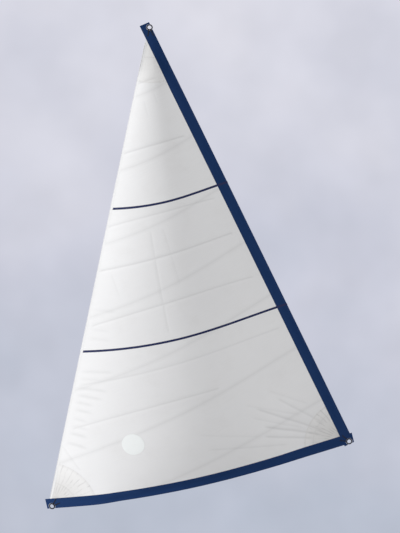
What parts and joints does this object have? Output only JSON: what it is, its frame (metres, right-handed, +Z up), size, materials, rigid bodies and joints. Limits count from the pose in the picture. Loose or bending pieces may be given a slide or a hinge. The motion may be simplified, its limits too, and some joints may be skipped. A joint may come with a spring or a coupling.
{
  "type": "genoa sail",
  "caption": "Roller-furling genoa flying on its stay: cross-cut panels, dark sun strips on foot and leech, draft stripes, layered corner patches and webbed corner rings that swing.",
  "frame": {"origin": "centre of the tack ring's bore, where the furling drum's shackle holds the sail", "axes": "+X aft along the boat to the clew, +Y to starboard (the sail flies towards -Y, its port side), +Z up; the luff leans aft by its stay's rake"},
  "size_m": [6.7324, 0.7623, 11.2397],
  "materials": {
    "sailcloth": "white woven polyester, smooth and slightly glossy",
    "patch_cloth": "white woven polyester, stitched radially",
    "tape_cloth": "white folded polyester tape",
    "cover_cloth": "navy acrylic cover cloth, matte",
    "stripe_cloth": "near-black navy adhesive cloth",
    "disc_cloth": "pale cyan-white adhesive cloth",
    "webbing": "black woven webbing",
    "ring_metal": "black anodised",
    "cord": "off-white braided cord",
    "moulding": "black moulded plastic"
  },
  "bodies": {
    "sail": {"clew_patch_port_1": "patch_cloth", "clew_patch_port_2": "patch_cloth", "clew_patch_starboard_1": "patch_cloth", "clew_patch_starboard_2": "patch_cloth", "clew_strap_aft": "webbing", "clew_strap_forward": "webbing", "foot_line": "cord", "foot_line_cleat": "moulding", "foot_sun_strip": "cover_cloth", "foot_tape": "tape_cloth", "head_patch_port_1": "patch_cloth", "head_patch_port_2": "patch_cloth", "head_patch_starboard_1": "patch_cloth", "head_patch_starboard_2": "patch_cloth", "head_strap_aft": "webbing", "head_strap_forward": "webbing", "insignia_disc": "disc_cloth", "leech_line": "cord", "leech_line_cleat": "moulding", "leech_sun_strip": "cover_cloth", "leech_tape": "tape_cloth", "lower_stripe_port": "stripe_cloth", "lower_stripe_starboard": "stripe_cloth", "luff_bead": "cord", "luff_tape": "tape_cloth", "panel_1": "sailcloth", "panel_2": "sailcloth", "panel_3": "sailcloth", "panel_4": "sailcloth", "panel_5": "sailcloth", "panel_6": "sailcloth", "panel_7": "sailcloth", "panel_8": "sailcloth", "tack_patch_port_1": "patch_cloth", "tack_patch_port_2": "patch_cloth", "tack_patch_starboard_1": "patch_cloth", "tack_patch_starboard_2": "patch_cloth", "tack_strap_aft": "webbing", "tack_strap_forward": "webbing", "upper_stripe_port": "stripe_cloth", "upper_stripe_starboard": "stripe_cloth"},
    "clew_ring": {"clew_ring": "ring_metal"},
    "head_ring": {"head_ring": "ring_metal"},
    "tack_ring": {"tack_ring": "ring_metal"}
  },
  "joints": [
    {"name": "head_ring_swing", "type": "hinge", "parent": "sail", "child": "head_ring", "pos_m": [2.14347, 0.02211, 10.99601], "axis": [-0.9918, 0.0374, -0.1225], "range_deg": [-25, 25]},
    {"name": "tack_ring_swing", "type": "hinge", "parent": "sail", "child": "tack_ring", "pos_m": [0.03686, -0.00884, 0.03809], "axis": [0.6775, -0.2111, -0.7046], "range_deg": [-25, 25]},
    {"name": "clew_ring_swing", "type": "hinge", "parent": "sail", "child": "clew_ring", "pos_m": [6.42661, 0.00751, 1.52862], "axis": [0.4321, 0.075, 0.8987], "range_deg": [-25, 25]}
  ]
}
